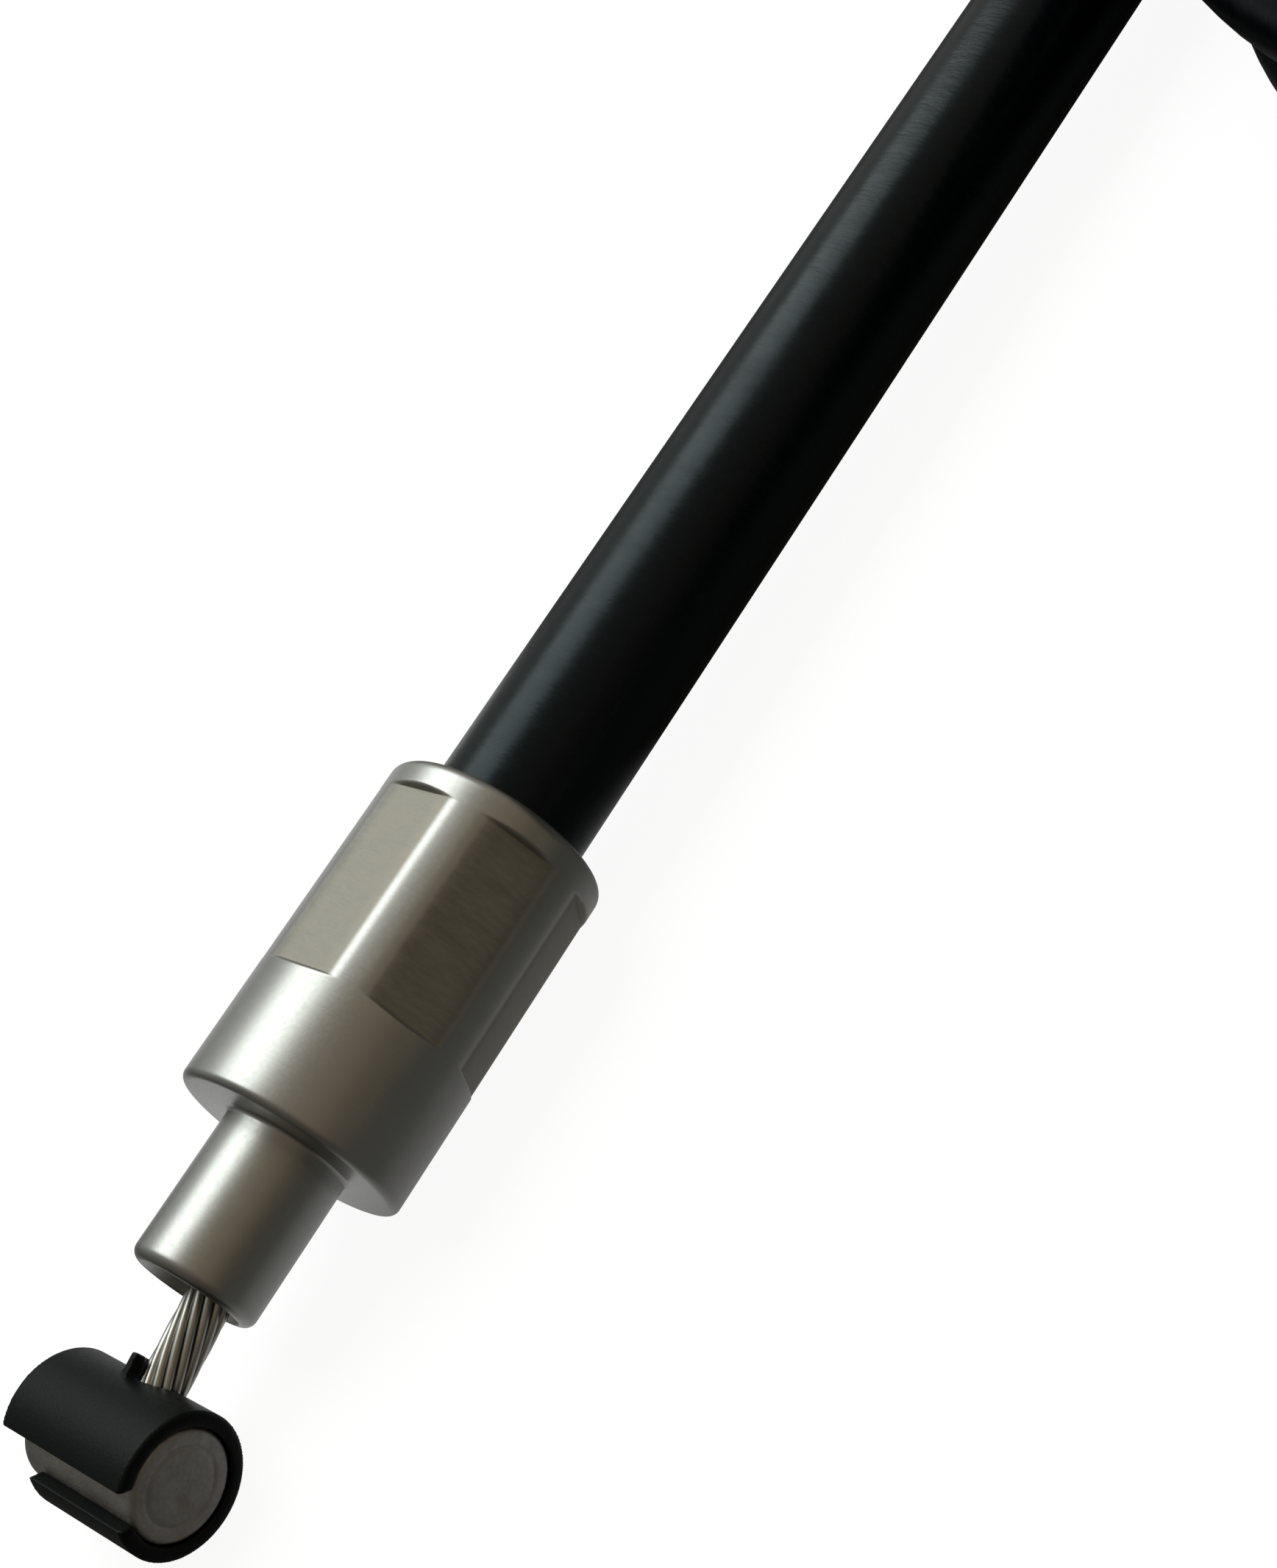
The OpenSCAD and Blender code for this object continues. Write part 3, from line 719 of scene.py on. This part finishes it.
class CABLE_OT_stage(bpy.types.Operator):
    """Make the floor, the lamps and the camera"""

    bl_idname = "cable.stage"
    bl_label = "Stage"

    def execute(self, context):
        stage = context.scene.cable_stage
        reach, height = 3.0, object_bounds()[0].z - 0.00002
        mesh = bpy.data.meshes.new("floor")
        corners = [(-reach, -reach), (reach, -reach), (reach, reach), (-reach, reach)]
        mesh.from_pydata([(x, y, height) for x, y in corners], [], [(0, 1, 2, 3)])
        floor = linked("floor", mesh)
        mesh.materials.append(self.floor_material(stage))
        floor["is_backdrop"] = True
        self.softbox(stage)
        context.scene.world = self.surroundings(stage)
        context.scene.camera = self.camera(stage)
        context.scene.view_settings.view_transform = "Standard"
        return {"FINISHED"}

    def floor_material(self, stage):
        """Matte floor that glows evenly for the camera, with a painted pool of light behind and beside the ferrule
        that only reflections see.
        """
        made, t, shader = material("floor", Roughness=0.9, Specular_IOR_Level=0.0, Emission_Color=(1.0, 1.0, 1.0, 1.0))
        shader.inputs["Base Color"].default_value = (*stage.floor, 1.0)
        path = t.node("ShaderNodeLightPath").outputs
        camera = t.times(path["Is Camera Ray"], stage.floor_glow)
        glossy = t.math("MAXIMUM", path["Is Glossy Ray"], path["Is Transmission Ray"])
        # Painted reflection: glow for glossy and transmission rays, strongest behind and beside the ferrule and almost
        # none in front or further off
        dark, front, back = 0.02, -12.0, 4.0
        lean, middle, near, far = 0.38, 5.0, 15.0, 24.0
        x, y, _ = t.split(in_mm(t))
        pale = spread(t, y, front, back, dark, stage.painted_pool_glow)
        leaning = t.math("SUBTRACT", x, t.times(y, lean))
        aside = t.math("ABSOLUTE", t.math("SUBTRACT", leaning, middle))
        painted_pool = t.times(glossy, t.times(pale, spread(t, aside, near, far, 1.0, dark)))
        t.feed(shader.inputs["Emission Strength"], t.plus(camera, painted_pool))
        return made

    def softbox(self, stage):
        """A large soft lamp behind the cable that looks at the ferrule, with its long side along the cable."""
        lamp = bpy.data.lights.new("softbox", "AREA")
        lamp.shape, lamp.size, lamp.size_y = "RECTANGLE", stage.softbox_width, stage.softbox_height
        lamp.energy, lamp.color = stage.softbox_power, stage.softbox
        back = np.array((0.28, 0.43, 0.86))
        back /= np.linalg.norm(back)
        side = np.array((1.0, 0.0, 0.0)) - back[0] * back
        side /= np.linalg.norm(side)
        stand("softbox", lamp, side, np.cross(back, side), back, back * stage.softbox_distance)

    def surroundings(self, stage):
        """Surroundings that are white to the camera and otherwise dim: warm in front, lighter above and behind."""
        world = bpy.data.worlds.new("surroundings")
        world.use_nodes = True
        t = Tree(world.node_tree)
        x, y, z = t.split(t.node("ShaderNodeTexCoord").outputs["Generated"])
        least, from_above, from_behind = 0.07, 0.27, 0.36
        behind = spread(t, y, -0.5, 1.0)
        above = spread(t, z, 0.0, 0.65)
        beside = spread(t, x, -0.8, 0.25, 0.25, 1.0)
        level = t.plus(t.times(above, from_above), t.times(behind, from_behind))
        level = t.plus(t.times(level, beside), least)
        seen = t.node("ShaderNodeLightPath").outputs["Is Camera Ray"]
        tint = mixed(t, behind, tuple(stage.warm), tuple(stage.cool))
        background = world.node_tree.nodes["Background"]
        t.feed(background.inputs["Color"], mixed(t, seen, tint, (1.0, 1.0, 1.0)))
        t.feed(background.inputs["Strength"], spread(t, seen, 0.0, 1.0, level, 1.0))
        return world

    def camera(self, stage):
        """The camera, from its place, heading, look down and roll."""
        data = bpy.data.cameras.new("camera")
        data.lens, data.sensor_width, data.sensor_fit = stage.lens_mm, 36.0, "AUTO"
        data.clip_start, data.clip_end = 0.001, 20.0
        heading, down, roll = stage.camera_turn
        ahead = np.array([sin(heading) * cos(down), cos(heading) * cos(down), -sin(down)])
        level = np.array([cos(heading), -sin(heading), 0.0])
        above = np.cross(level, ahead)
        right = cos(roll) * level - sin(roll) * above
        up = sin(roll) * level + cos(roll) * above
        return stand("camera", data, right, up, -ahead, stage.camera_place)


class CABLE_OT_casing(bpy.types.Operator):
    """Lay the plastic-covered casing from the ferrule through the coil to the adjuster"""

    bl_idname = "cable.casing"
    bl_label = "Casing"

    def execute(self, context):
        radius = context.scene.cable_sizes.casing_d / MM / 2
        points, faces, along, around = tube(casing_path(), radius, 64)
        nodes = "conduit_run", "conduit_coil", "conduit_tail"
        piece = add("casing", (points, faces), "casing", "casing_plastic", *nodes)
        store(piece, "along", along * MM)
        store(piece, "around", around)
        return {"FINISHED"}


class CABLE_OT_ferrule(bpy.types.Operator):
    """Turn the stepped ferrule and press its six crimp flats"""

    bl_idname = "cable.ferrule"
    bl_label = "Ferrule"

    def execute(self, context):
        s = context.scene.cable_sizes
        outer, length, nose, nose_len = s.ferrule_d / MM / 2, s.ferrule_len / MM, s.nose_d / MM / 2, s.nose_len / MM
        flat = s.crimp_across / MM / 2
        depth = outer - flat
        start, end, run = 6.46, 16.74, 0.14
        web, bend = 2.6, WIRE_BEND[0]
        tip_edge, corner, shoulder_edge, rim_edge = 0.55, 0.2, 0.4, 0.6
        section = (
            [(-nose_len + 0.05, NOSE_BORE)]
            + arc(-nose_len + tip_edge, nose - tip_edge, tip_edge, 180, 90, 10)
            + level(nose, -nose_len + 1.0, -0.6, 0.6)
            + arc(-corner, nose + corner, corner, -90, 0, 4)
            + [(0.0, r) for r in rows(nose + 0.4, outer - 0.6, 0.3)]
            + arc(shoulder_edge, outer - shoulder_edge, shoulder_edge, 180, 90, 8)
            + level(outer, 0.9, 5.6, 0.6)
            + level(outer, 5.9, 7.7, 0.06)
            + level(outer, 8.2, 15.8, 0.5)
            + level(outer, 16.1, length - 0.66, 0.06)
            + arc(length - rim_edge, outer - rim_edge, rim_edge, 90, 0, 10)
            + [(length, SOCKET_R + 0.3), (length - 0.25, SOCKET_R), (web, SOCKET_R), (web, LINER_HOLE)]
            + [(bend, LINER_HOLE), (bend, NOSE_BORE)]
        )

        def pressed(along, radius, angle):
            if along < 4.0 or radius < 5.0:
                return np.full_like(angle, radius)
            slope = max(0.0, (start + run - along) / run, (along - end + run) / run)
            return smooth_least(np.full_like(angle, radius), hexagon(angle, flat + depth * slope, pi / 2), 0.22)

        points, faces = turned(section, 288, pressed)
        piece = add("ferrule", (points, faces), "casing", "plated_steel", "lever_ferrule", sharp=50.0)
        x, y, z = points.T
        far = np.hypot(y, z)
        pressed_in = np.clip((outer - far - 0.03) / 0.05, 0, 1) * (x > start) * (x < end + 0.05) * (far > 5.2)
        store(piece, "crimped", pressed_in)
        return {"FINISHED"}


class CABLE_OT_wires(bpy.types.Operator):
    """Lay the stranded pull wire at both ends"""

    bl_idname = "cable.wires"
    bl_label = "Pull wires"

    def execute(self, context):
        s = context.scene.cable_sizes
        tree = strand_tree()
        values = {"Wire diameter": s.strand_d, "Lay": s.strand_lay, "Sides": 12, "Material": finish_of("wire_steel")}
        knee, soft = WIRE_BEND, 0.6
        ahead = (WIRE_END - knee) / np.linalg.norm(WIRE_END - knee)
        line = [(x, 0.0, 0.0) for x in rows(17.9, knee[0] + soft, 0.5)]
        first, last = knee + [soft, 0, 0], knee + soft * ahead
        line += [tuple((1 - t) ** 2 * first + 2 * t * (1 - t) * knee + t * t * last) for t in rows(0.1, 1.0, 0.1)]
        line += [tuple(last + ahead * d) for d in rows(0.4, np.linalg.norm(WIRE_END - last), 0.4)]
        settle(grown("lever_pull_strand", line, tree, values), "lever_pull_wire", "wire_steel", "lever_wire")
        lower = on_lower([(x, 0.0, 0.0) for x in rows(12.2, LOWER_NIPPLE, 0.6)])
        settle(grown("lower_pull_strand", lower, tree, values), "lower_pull_wire", "wire_steel", "lower_wire")
        return {"FINISHED"}


class CABLE_OT_nipples(bpy.types.Operator):
    """Cast the barrel nipples on both ends of the wire"""

    bl_idname = "cable.nipples"
    bl_label = "Barrel nipples"

    def execute(self, context):
        s = context.scene.cable_sizes
        length = s.nipple_len / MM
        points, faces = turned(bar_section(s.nipple_d / MM / 2, length, 0.3), 160)
        points = across(points, NIPPLE)
        dx, dy, dz = (points - NIPPLE).T
        ring = 0.07 * np.exp(-((np.hypot(dx, dz) - 1.79) / 0.1) ** 2)
        dimple = 0.16 * np.exp(-(np.hypot(dx + 0.57, dz + 0.48) / 0.36) ** 2)
        wave = 0.02 * np.sin(3.1 * dx + 1.0) * np.cos(2.7 * dz)
        on_face = np.abs(np.abs(dy) - length / 2) < 0.001
        points[:, 1] -= on_face * np.sign(dy) * (ring + np.abs(wave) + dimple * (dy < 0))
        add("lever_barrel_nipple", (points, faces), "lever_pull_wire", "nipple_metal", "lever_nipple")
        section = bar_section(s.lower_nipple_d / MM / 2, s.lower_nipple_len / MM, 0.4)
        points, faces = turned(section, 160)
        points = across(points, on_lower([(LOWER_NIPPLE, 0.0, 0.0)])[0])
        add("lower_barrel_nipple", (points, faces), "lower_pull_wire", "nipple_metal", "lower_nipple")
        return {"FINISHED"}


class CABLE_OT_bush(bpy.types.Operator):
    """Mould the split bush round the nipple, with rounded edges"""

    bl_idname = "cable.bush"
    bl_label = "Bush"

    def execute(self, context):
        holder = linked("bush_blank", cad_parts["nipple_bush"].data.copy())
        weld = holder.modifiers.new("weld", "WELD")
        weld.merge_threshold = 0.000001
        voxels = holder.modifiers.new("voxels", "REMESH")
        voxels.mode, voxels.voxel_size = "VOXEL", 0.000085
        soften = holder.modifiers.new("soften", "SMOOTH")
        soften.factor, soften.iterations = 0.5, 7
        mesh = evaluated(holder)
        self.true_up(mesh, context.scene.cable_sizes)
        piece = finish_mesh("split_bush", mesh, finish_of("bush_plastic"), 60.0)
        settle(piece, "bush", "bush_plastic", "nipple_bush")
        return {"FINISHED"}

    def true_up(self, mesh, sizes):
        """Brings the points of the outside and the bore to their true radius."""
        points = np.empty(len(mesh.vertices) * 3, np.float32)
        mesh.vertices.foreach_get("co", points)
        points = points.reshape(-1, 3) / MM
        reach, clearance = 0.03, 0.05
        for radius in (sizes.bush_d / MM / 2, sizes.nipple_d / MM / 2 + clearance):
            dx, dz = points[:, 0] - BUSH[0], points[:, 2] - BUSH[2]
            far = np.hypot(dx, dz)
            share = np.clip((1.5 * reach - np.abs(far - radius)) / (0.5 * reach), 0, 1)
            scale = 1 + share * (radius / far - 1)
            points[:, 0] = BUSH[0] + dx * scale
            points[:, 2] = BUSH[2] + dz * scale
        mesh.vertices.foreach_set("co", (points * MM).astype(np.float32).ravel())
        mesh.update()


class CABLE_OT_ties(bpy.types.Operator):
    """Close the two cable ties round the coil"""

    bl_idname = "cable.ties"
    bl_label = "Coil ties"

    # From a turn's middle line to the inside of the strap, which lies 0.35 mm off the casing
    INNER = 4.35

    def execute(self, context):
        ribs = tooth_tree()
        near = [(coil_radius(270.0), 0.0), (coil_radius(270.0), COIL_PITCH)]
        far = [(coil_radius(90.0), 0.0), (coil_radius(810.0), COIL_PITCH), (coil_radius(450.0), COIL_PITCH / 2)]
        for name, node, angle, centres in (
            ("near_tie", "near_coil_tie", 270.0, near), ("far_tie", "far_coil_tie", 90.0, far),
        ):
            points, faces = self.strap(centres)
            add(name, (self.placed(points, angle), faces), "casing", "tie_plastic", node, sharp=30.0)
            teeth = grown(name + "_teeth", self.placed(self.tail_line(centres), angle), ribs, {
                "Pitch": 0.0007, "Width": 0.0028, "Height": 0.00022, "Material": finish_of("tie_plastic"),
            })
            settle(teeth, "casing", "tie_plastic")
        return {"FINISHED"}

    def placed(self, points, angle):
        """Points of a tie drawn outwards along +X, turned to its place on the coil."""
        x, y, z = np.asarray(points, float).T
        right, ahead = cos(radians(90.0 - angle)), sin(radians(90.0 - angle))
        return np.stack([COIL_X + x * right - y * ahead, COIL_Y + x * ahead + y * right, z], 1)

    def loop(self, centres, radius):
        """The outline of a band round the centres, with its outward directions."""
        middle = np.mean(centres, 0)
        order = sorted(centres, key=lambda c: atan2(c[1] - middle[1], c[0] - middle[0]))
        points, out = [], []
        for i, centre in enumerate(order):
            before, after = order[i - 1], order[(i + 1) % len(order)]
            a = atan2(centre[1] - before[1], centre[0] - before[0]) - pi / 2
            b = atan2(after[1] - centre[1], after[0] - centre[0]) - pi / 2
            b += 2 * pi * (b < a)
            for turn in np.linspace(a, b, 14):
                out.append((cos(turn), sin(turn)))
                points.append((centre[0] + radius * out[-1][0], centre[1] + radius * out[-1][1]))
        return points, out

    def strap(self, centres):
        """Points and faces of the strap with its edge rails, and of the head with its rounded corners."""
        thick, half, edge, rail, sunk = 1.5, 2.4, 0.25, 0.7, 0.22
        line, out = self.loop(centres, self.INNER)
        one_side = [
            (0.0, -half + edge), (edge, -half), (thick - edge, -half), (thick, -half + edge), (thick, -half + rail),
            (thick - sunk, -half + 0.9),
        ]
        section = one_side + [(rise, -over) for rise, over in reversed(one_side)]
        points = [(p[0] + o[0] * rise, over, p[1] + o[1] * rise) for p, o in zip(line, out) for rise, over in section]
        faces = oriented(points, grid_faces(len(line), len(section), closed=True))
        start = max(c[0] for c in centres) + self.INNER + 0.2
        head_points, head_faces = self.head(start, max(c[1] for c in centres) / 2)
        faces += [tuple(v + len(points) for v in f) for f in oriented(head_points, head_faces)]
        return np.concatenate([points, head_points]), faces

    def head(self, start, middle):
        """A block with rounded corners: rings from its inner to its outer face."""
        width, height, corner = 7.0, 6.4, 0.9
        ring = [
            (cy * (width / 2 - corner) + corner * cos(turn), cz * (height / 2 - corner) + corner * sin(turn))
            for cy, cz, first in ((1, 1, 0), (-1, 1, 90), (-1, -1, 180), (1, -1, 270))
            for turn in np.radians(np.linspace(first, first + 90, 6))
        ]
        levels = ((0.0, 0.35), (0.12, 0.1), (0.4, 0.0), (3.5, 0.0), (3.95, 0.15), (4.2, 0.55), (4.2, 1.1))
        points = [
            (start + x, y * (1 - 2 * inset / width), middle + z * (1 - 2 * inset / height))
            for x, inset in levels for y, z in ring
        ]
        sides, count = len(ring), len(levels)
        ends = [tuple(reversed(range(sides))), tuple(range((count - 1) * sides, count * sides))]
        return np.array(points), grid_faces(count, sides) + ends

    def tail_line(self, centres):
        """Where the teeth show on the strap beside the head."""
        x = max(c[0] for c in centres) + self.INNER + 1.28
        middle = max(c[1] for c in centres) / 2
        return [(x, 0.0, z) for z in rows(middle - 3.6, middle - 4.6, 0.35)]


class CABLE_OT_adjuster(bpy.types.Operator):
    """Turn the adjuster screw and cut its thread"""

    bl_idname = "cable.adjuster"
    bl_label = "Adjuster screw"

    def execute(self, context):
        socket, edge, neck = 6.0, 0.6, 3.4
        taper, floor_at, depth = 15.6, 12.0, 0.68
        section = (
            [(0.25, SOCKET_R), (0.0, SOCKET_R + 0.3)]
            + arc(edge, socket - edge, edge, 180, 90, 8)
            + level(socket, 1.2, 12.8, 0.8)
            + arc(13.4, socket - edge, edge, 90, 0, 8)
            + arc(14.2, 3.6, 0.2, 180, 270, 3)
            + level(neck, 14.6, taper, 0.25)
            + [(x, neck + (x - taper)) for x in rows(15.7, THREAD_START - 0.1, 0.1)]
            + level(THREAD_R, THREAD_START, THREAD_END, 0.1)
            + [(x, THREAD_R - (x - THREAD_END)) for x in rows(THREAD_END + 0.1, THREAD_END + 0.6, 0.1)]
            + [(THREAD_END + 0.6, LINER_HOLE + 0.1), (THREAD_END + 0.45, LINER_HOLE)]
            + [(floor_at, LINER_HOLE), (floor_at, SOCKET_R)]
        )

        def threaded(along, radius, angle):
            if along < taper or radius < 3.0:
                return np.full_like(angle, radius)
            phase = (along / THREAD_PITCH - angle / (2 * pi)) % 1.0
            groove = np.clip((np.abs(2 * phase - 1) - 0.125) / 0.625, 0, 1)
            fade = min(1.0, max(0.0, (along - 15.9) / THREAD_PITCH))
            return np.minimum(radius, THREAD_R - depth * fade * groove)

        add(
            "adjuster", turned_low(section, 96, threaded), "casing", "plated_steel", "adjuster_screw", sharp=35.0,
            finish="turned_steel",
        )
        return {"FINISHED"}


class CABLE_OT_nuts(bpy.types.Operator):
    """Make the two lock nuts and their washers"""

    bl_idname = "cable.nuts"
    bl_label = "Lock nuts and washers"

    def execute(self, context):
        flat, bore = 6.5, SOCKET_R
        corner = flat / cos(pi / 6)
        edge, face = (corner - flat) / 2, flat - 0.25
        slope = corner - flat + 0.25
        section = (
            [(0.4, bore), (0.0, bore + 0.4), (0.0, face)]
            + [(edge * t, face + slope * t) for t in rows(0.05, 1.0, 0.1)]
            + level(corner, edge + 0.3, NUT_H - edge - 0.3, 0.4)
            + [(NUT_H - edge * t, face + slope * t) for t in rows(1.0, 0.05, 0.1)]
            + [(NUT_H, face), (NUT_H, bore + 0.4), (NUT_H - 0.4, bore)]
        )

        def six_sided(along, radius, angle):
            if radius < 6.0:
                return np.full_like(angle, radius)
            return smooth_least(np.full_like(angle, radius), hexagon(angle, flat, pi / 6), 0.12)

        for name, at, node in (("rear_nut", REAR_NUT, "rear_lock_nut"), ("front_nut", FRONT_NUT, "front_lock_nut")):
            add(name, turned_low(section, 180, six_sided, at), name + "_body", "nut_steel", node, sharp=25.0)
        rim, round_edge = 7.3, 0.3
        ring = (
            [(0.1, bore), (0.0, bore + 0.1)] + arc(round_edge, rim, round_edge, 180, 90, 5)
            + arc(WASHER_T - round_edge, rim, round_edge, 90, 0, 5) + [(WASHER_T, bore + 0.1), (WASHER_T - 0.1, bore)]
        )
        for name, at, node in (
            ("rear_flat_washer", REAR_WASHER, "rear_washer"), ("front_flat_washer", FRONT_WASHER, "front_washer"),
        ):
            add(name, turned_low(ring, 128, None, at), node + "_body", "nut_steel", node, sharp=35.0)
        return {"FINISHED"}


class CABLE_OT_boot(bpy.types.Operator):
    """Mould the dust boot with its bellows"""

    bl_idname = "cable.boot"
    bl_label = "Dust boot"

    def execute(self, context):
        grip, outer, folds, length = 6.0, 6.2, 3, 15.0
        knots = [(0.5, outer), (3.0, outer), (grip, outer)]
        for i in range(folds):
            base, radius = grip + 2.571 * i, outer - 3.95 * (i + 0.3) / folds
            knots += [(base + 0.77, radius - 0.75), (base + 1.67, radius), (base + 2.4, radius - 0.15)]
        knots += [(14.1, 2.4), (length, 2.25)]
        outside = []
        for i in range(len(knots) - 1):
            four = [np.array(knots[min(max(j, 0), len(knots) - 1)]) for j in range(i - 1, i + 3)]
            outside += [tuple(spline(*four, t)) for t in np.linspace(0, 1, 6)[:-1]]
        section = (
            [(0.0, 4.15), (0.0, 5.7)] + arc(0.5, 5.7, 0.5, 180, 90, 5)[1:-1] + outside
            + [(14.8, 2.25), (length, 2.05), (length, 1.3), (14.85, 1.15)]
            + [(11.85, 1.15), (11.85, 1.55), (grip, 3.6), (grip, SOCKET_R), (0.1, SOCKET_R)]
        )
        add("dust_boot", turned_low(section, 128, None, BOOT), "casing", "boot_rubber", "wire_boot", sharp=50.0)
        return {"FINISHED"}


class CABLE_OT_layers(bpy.types.Operator):
    """Finish the liner, the armour and the cover that show inside the metal ends"""

    bl_idname = "cable.layers"
    bl_label = "Inner layers"

    def execute(self, context):
        for kind, finish in (("liner", "liner_plastic"), ("armour", "wound_steel"), ("jacket", "tie_plastic")):
            for end in ("lever", "lower"):
                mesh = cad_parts[f"{end}_{kind}"].data
                mesh.materials.clear()
                mesh.materials.append(finish_of(finish))
        return {"FINISHED"}


class CABLE_OT_cord(bpy.types.Operator):
    bl_idname = "cable.cord"
    bl_label = "Casing as a cord"

    def execute(self, context):
        line = casing_path() * MM
        return {"FINISHED"}


OPERATORS = (
    CABLE_OT_stage, CABLE_OT_casing, CABLE_OT_ferrule, CABLE_OT_wires, CABLE_OT_nipples, CABLE_OT_bush, CABLE_OT_ties,
    CABLE_OT_adjuster, CABLE_OT_nuts, CABLE_OT_boot, CABLE_OT_layers, CABLE_OT_cord,
)


class CABLE_PT_panel(bpy.types.Panel):
    """Sizes, colours and the steps of the build"""

    bl_label = "Control cable"
    bl_idname = "CABLE_PT_panel"
    bl_space_type = "VIEW_3D"
    bl_region_type = "UI"
    bl_category = "Cable"

    def draw(self, context):
        layout = self.layout
        for holder in (context.scene.cable_sizes, context.scene.cable_colours, context.scene.cable_stage):
            column = layout.column()
            for name in holder.__annotations__:
                column.prop(holder, name)
        for operator in OPERATORS:
            layout.operator(operator.bl_idname)


CLASSES = (CableSizes, CableColours, CableStage, *OPERATORS, CABLE_PT_panel)


def register():
    """Registers the classes and their settings."""
    for cls in CLASSES:
        bpy.utils.register_class(cls)
    bpy.types.Scene.cable_sizes = bpy.props.PointerProperty(type=CableSizes)
    bpy.types.Scene.cable_colours = bpy.props.PointerProperty(type=CableColours)
    bpy.types.Scene.cable_stage = bpy.props.PointerProperty(type=CableStage)


def unregister():
    """Removes the settings and the classes."""
    for name in ("cable_sizes", "cable_colours", "cable_stage"):
        delattr(bpy.types.Scene, name)
    for cls in reversed(CLASSES):
        bpy.utils.unregister_class(cls)


def main():
    """Builds the cable step by step."""
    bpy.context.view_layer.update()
    register()
    bpy.ops.cable.stage()
    bpy.ops.cable.casing()
    bpy.ops.cable.ferrule()
    bpy.ops.cable.wires()
    bpy.ops.cable.nipples()
    bpy.ops.cable.bush()
    bpy.ops.cable.ties()
    bpy.ops.cable.adjuster()
    bpy.ops.cable.nuts()
    bpy.ops.cable.boot()
    bpy.ops.cable.layers()
    bpy.ops.cable.cord()


if __name__ == "__main__":
    main()
